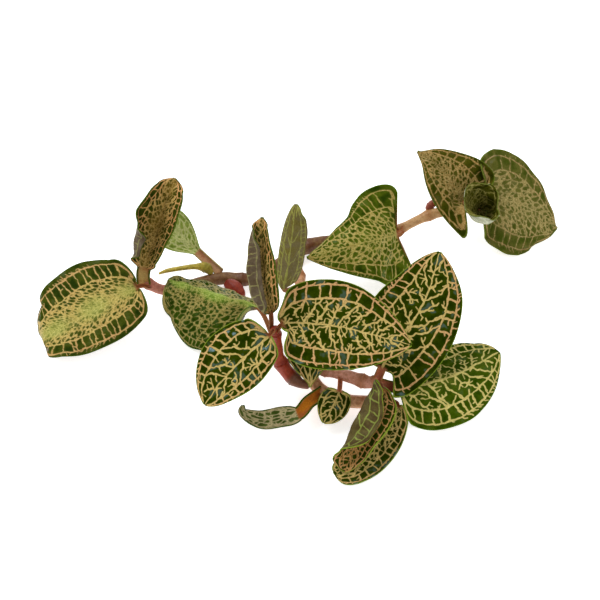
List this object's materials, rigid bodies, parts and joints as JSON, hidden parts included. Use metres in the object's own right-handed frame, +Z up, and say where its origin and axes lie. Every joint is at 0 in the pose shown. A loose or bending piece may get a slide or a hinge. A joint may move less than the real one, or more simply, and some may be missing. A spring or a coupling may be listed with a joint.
{
  "type": "unpotted jewel orchid plant",
  "caption": "Creeping jewel orchid lying loose on a surface: pinkish stems with broad, pointed, net-veined leaves that arch, fold, roll and cup.",
  "frame": {"origin": "middle of the plant's footprint, on the surface it lies on", "axes": "+X along the plant's length to the right, +Y to its far side, +Z up"},
  "size_m": [0.218, 0.1504, 0.066],
  "materials": {
    "leaf": "satin green leaf with a net of gold veins",
    "stem": "satin pinkish brown stem",
    "bud": "satin dark red bud",
    "root": "matt pale yellow root"
  },
  "bodies": {
    "root": {"left_leaf": "leaf", "left_cupped_leaf": "leaf", "left_back_leaf": "leaf", "inner_folded_leaf": "leaf", "centre_rolled_leaf": "leaf", "centre_back_leaf": "leaf", "centre_leaf": "leaf", "front_left_leaf": "leaf", "right_upright_leaf": "leaf", "right_low_leaf": "leaf", "front_rolled_leaf": "leaf", "front_under_leaf": "leaf", "small_twisted_leaf": "leaf", "small_heart_leaf": "leaf", "small_hidden_leaf": "leaf", "back_heart_leaf": "leaf", "far_twisted_leaf": "leaf", "far_round_leaf": "leaf", "far_young_leaf": "leaf", "creeping_stem": "stem", "left_shoot": "stem", "far_shoot": "stem", "front_stem": "stem", "centre_shoot": "stem", "right_shoot": "stem", "far_bud": "bud", "red_bud": "bud", "pale_root": "root", "young_root": "root"}
  },
  "joints": []
}
